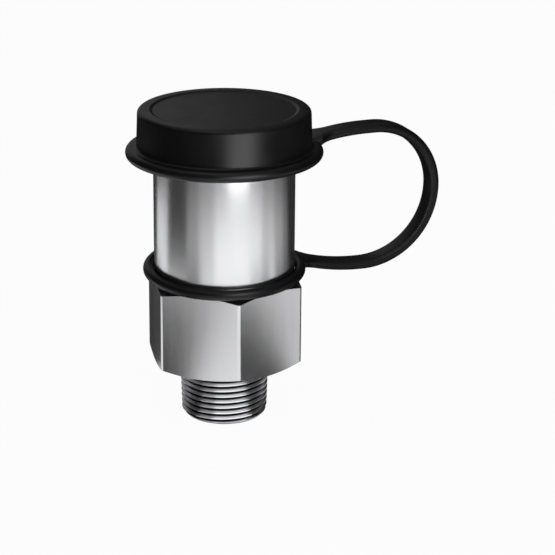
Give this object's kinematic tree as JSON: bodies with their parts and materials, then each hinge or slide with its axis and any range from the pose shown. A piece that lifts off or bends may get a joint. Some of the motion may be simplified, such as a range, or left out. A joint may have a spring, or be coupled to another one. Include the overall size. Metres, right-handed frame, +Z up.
{
  "type": "safety valve",
  "caption": "Pop-action safety valve with a hexagon body, male pipe nipple and a black rubber rain cap held by a moulded strap and ring.",
  "frame": {"origin": "on the valve's axis at the inlet end of the pipe nipple", "axes": "+Z up along the valve's axis to the cap, +X towards the strap's loop"},
  "size_m": [0.0993, 0.059, 0.0961],
  "materials": {
    "body_steel": "turned and milled, satin",
    "cap_rubber": "satin moulded rubber",
    "inner_brass": "turned, bright",
    "stem_steel": "ground",
    "spring_steel": "drawn wire",
    "seat_rubber": "matt"
  },
  "bodies": {
    "valve": {"valve_body": "body_steel", "lock_ring": "inner_brass"},
    "disc_assembly": {"seat_disc": "seat_rubber", "disc_retainer": "inner_brass", "retainer_lock_washer": "stem_steel", "retainer_screw": "stem_steel", "disc_holder": "inner_brass", "stem": "stem_steel", "stem_pin": "stem_steel", "lift_stop_sleeve": "inner_brass", "lower_spring_seat": "stem_steel", "relief_spring": "spring_steel"},
    "spring_retainer": {"upper_spring_seat": "stem_steel", "thrust_washer": "inner_brass"},
    "adjuster": {"adjusting_bushing": "inner_brass", "guide_bush": "inner_brass"},
    "retaining_ring": {"cap_ring": "cap_rubber", "cap_strap": "cap_rubber"},
    "cap": {"rain_cap": "cap_rubber"}
  },
  "joints": [
    {"name": "disc_lift", "type": "slide", "parent": "valve", "child": "disc_assembly", "axis": [0, 0, 1], "range_m": [0, 0.005], "stiffness_N_per_m": 24500, "deforming": ["relief_spring"]},
    {"name": "adjuster_feed", "type": "slide", "parent": "valve", "child": "spring_retainer", "axis": [0, 0, 1], "range_m": [-0.0015, 0], "deforming": ["relief_spring"]},
    {"name": "adjuster_turn", "type": "hinge", "parent": "spring_retainer", "child": "adjuster", "pos_m": [0, 0, 0.078], "axis": [0, 0, 1], "range_deg": [-360, 0]},
    {"name": "ring_turn", "type": "hinge", "parent": "valve", "child": "retaining_ring", "pos_m": [0, 0, 0.04555], "axis": [0, 0, 1], "continuous": true},
    {"name": "cap_lift", "type": "slide", "parent": "retaining_ring", "child": "cap", "axis": [0, 0, 1], "range_m": [0, 0.014], "deforming": ["cap_strap"]}
  ],
  "couplings": [
    {"joint": "adjuster_turn", "follows": "adjuster_feed", "rad_per_m": 4188.8}
  ]
}
